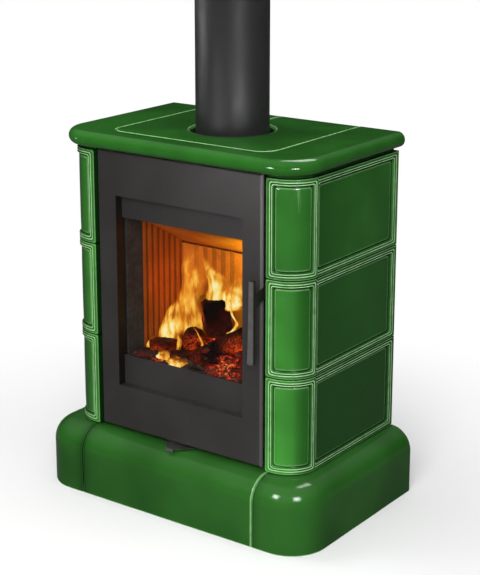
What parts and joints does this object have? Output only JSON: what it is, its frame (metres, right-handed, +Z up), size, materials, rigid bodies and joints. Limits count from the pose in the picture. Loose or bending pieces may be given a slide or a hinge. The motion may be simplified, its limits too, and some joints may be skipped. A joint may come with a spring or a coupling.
{
  "type": "tiled wood stove",
  "caption": "Free-standing wood stove clad in framed glazed tiles, with rounded corners, a flared plinth, a glazed top slab, a glass fire door and a round flue pipe.",
  "frame": {"origin": "on the floor, under the middle of the stove's width and depth", "axes": "+Z up; the fire door faces -Y; +X is to the right of someone who looks at the door"},
  "size_m": [0.718, 0.438, 1.2505],
  "materials": {
    "tile_glaze": "deep gloss green glaze, paler where it runs thin on the beads",
    "plinth_glaze": "deep gloss green glaze with faint waviness",
    "slab_glaze": "deep gloss green glaze, paler on the rounded edge",
    "door_paint": "anthracite heat-resistant paint, satin",
    "handle_steel": "anthracite, satin",
    "flue_paint": "black heat-resistant paint, satin",
    "carcass_steel": "dark grey paint, matt",
    "bright_steel": "plain steel",
    "casting": "as cast, black",
    "window_glass": "clear ceramic glass",
    "fire_brick": "pale fired clay, matt, sooted towards the front",
    "sealing": "grey glass-fibre rope, tape and felt"
  },
  "bodies": {
    "stove": {"corner_tile_left_1": "tile_glaze", "corner_tile_left_2": "tile_glaze", "corner_tile_left_3": "tile_glaze", "corner_tile_right_1": "tile_glaze", "corner_tile_right_2": "tile_glaze", "corner_tile_right_3": "tile_glaze", "side_tile_left_1": "tile_glaze", "side_tile_left_2": "tile_glaze", "side_tile_left_3": "tile_glaze", "side_tile_right_1": "tile_glaze", "side_tile_right_2": "tile_glaze", "side_tile_right_3": "tile_glaze", "plinth_front": "plinth_glaze", "plinth_corner_left": "plinth_glaze", "plinth_corner_right": "plinth_glaze", "slab_border": "slab_glaze", "slab_centre": "slab_glaze", "flue_pipe": "flue_paint", "front_frame": "carcass_steel", "casing_left": "carcass_steel", "casing_right": "carcass_steel", "rear_shield": "carcass_steel", "top_plate": "carcass_steel", "tile_rails": "carcass_steel", "tile_clips": "carcass_steel", "base_frame": "carcass_steel", "base_plate": "carcass_steel", "firebox_shell": "carcass_steel", "hearth_plate": "carcass_steel", "air_box": "carcass_steel", "slide_guides": "carcass_steel", "hinge_brackets": "carcass_steel", "latch_post": "carcass_steel", "hinge_pins": "bright_steel", "latch_roller": "bright_steel", "levelling_feet": "bright_steel", "grate": "casting", "throat_frame": "casting", "flue_spigot": "casting", "lining_left": "fire_brick", "lining_right": "fire_brick", "lining_rear": "fire_brick", "baffle": "fire_brick", "floor_bricks": "fire_brick", "slab_bedding": "sealing"},
    "door": {"door_plate": "door_paint", "door_inner_frame": "door_paint", "glass": "window_glass", "glass_tape": "sealing", "glass_clips": "bright_steel", "clip_screws": "bright_steel", "door_rope": "sealing", "door_lugs": "bright_steel", "handle_bracket": "handle_steel", "pivot_pin": "bright_steel"},
    "handle": {"handle_lever": "handle_steel", "handle_grip": "handle_steel"},
    "air_control": {"air_slide": "bright_steel", "air_lever": "bright_steel"},
    "ash_drawer": {"ash_pan": "bright_steel"}
  },
  "joints": [
    {"name": "door_hinge", "type": "hinge", "parent": "stove", "child": "door", "pos_m": [-0.208, -0.149, 0.467], "axis": [0, 0, -1], "range_deg": [0, 100]},
    {"name": "handle_turn", "type": "hinge", "parent": "door", "child": "handle", "pos_m": [0.2198, -0.143, 0.54], "axis": [-1, 0, 0], "range_deg": [0, 28]},
    {"name": "air_slide", "type": "slide", "parent": "stove", "child": "air_control", "axis": [1, 0, 0], "range_m": [-0.028, 0.028]},
    {"name": "ash_pan_slide", "type": "slide", "parent": "stove", "child": "ash_drawer", "axis": [0, -1, 0], "range_m": [0, 0.024]}
  ]
}
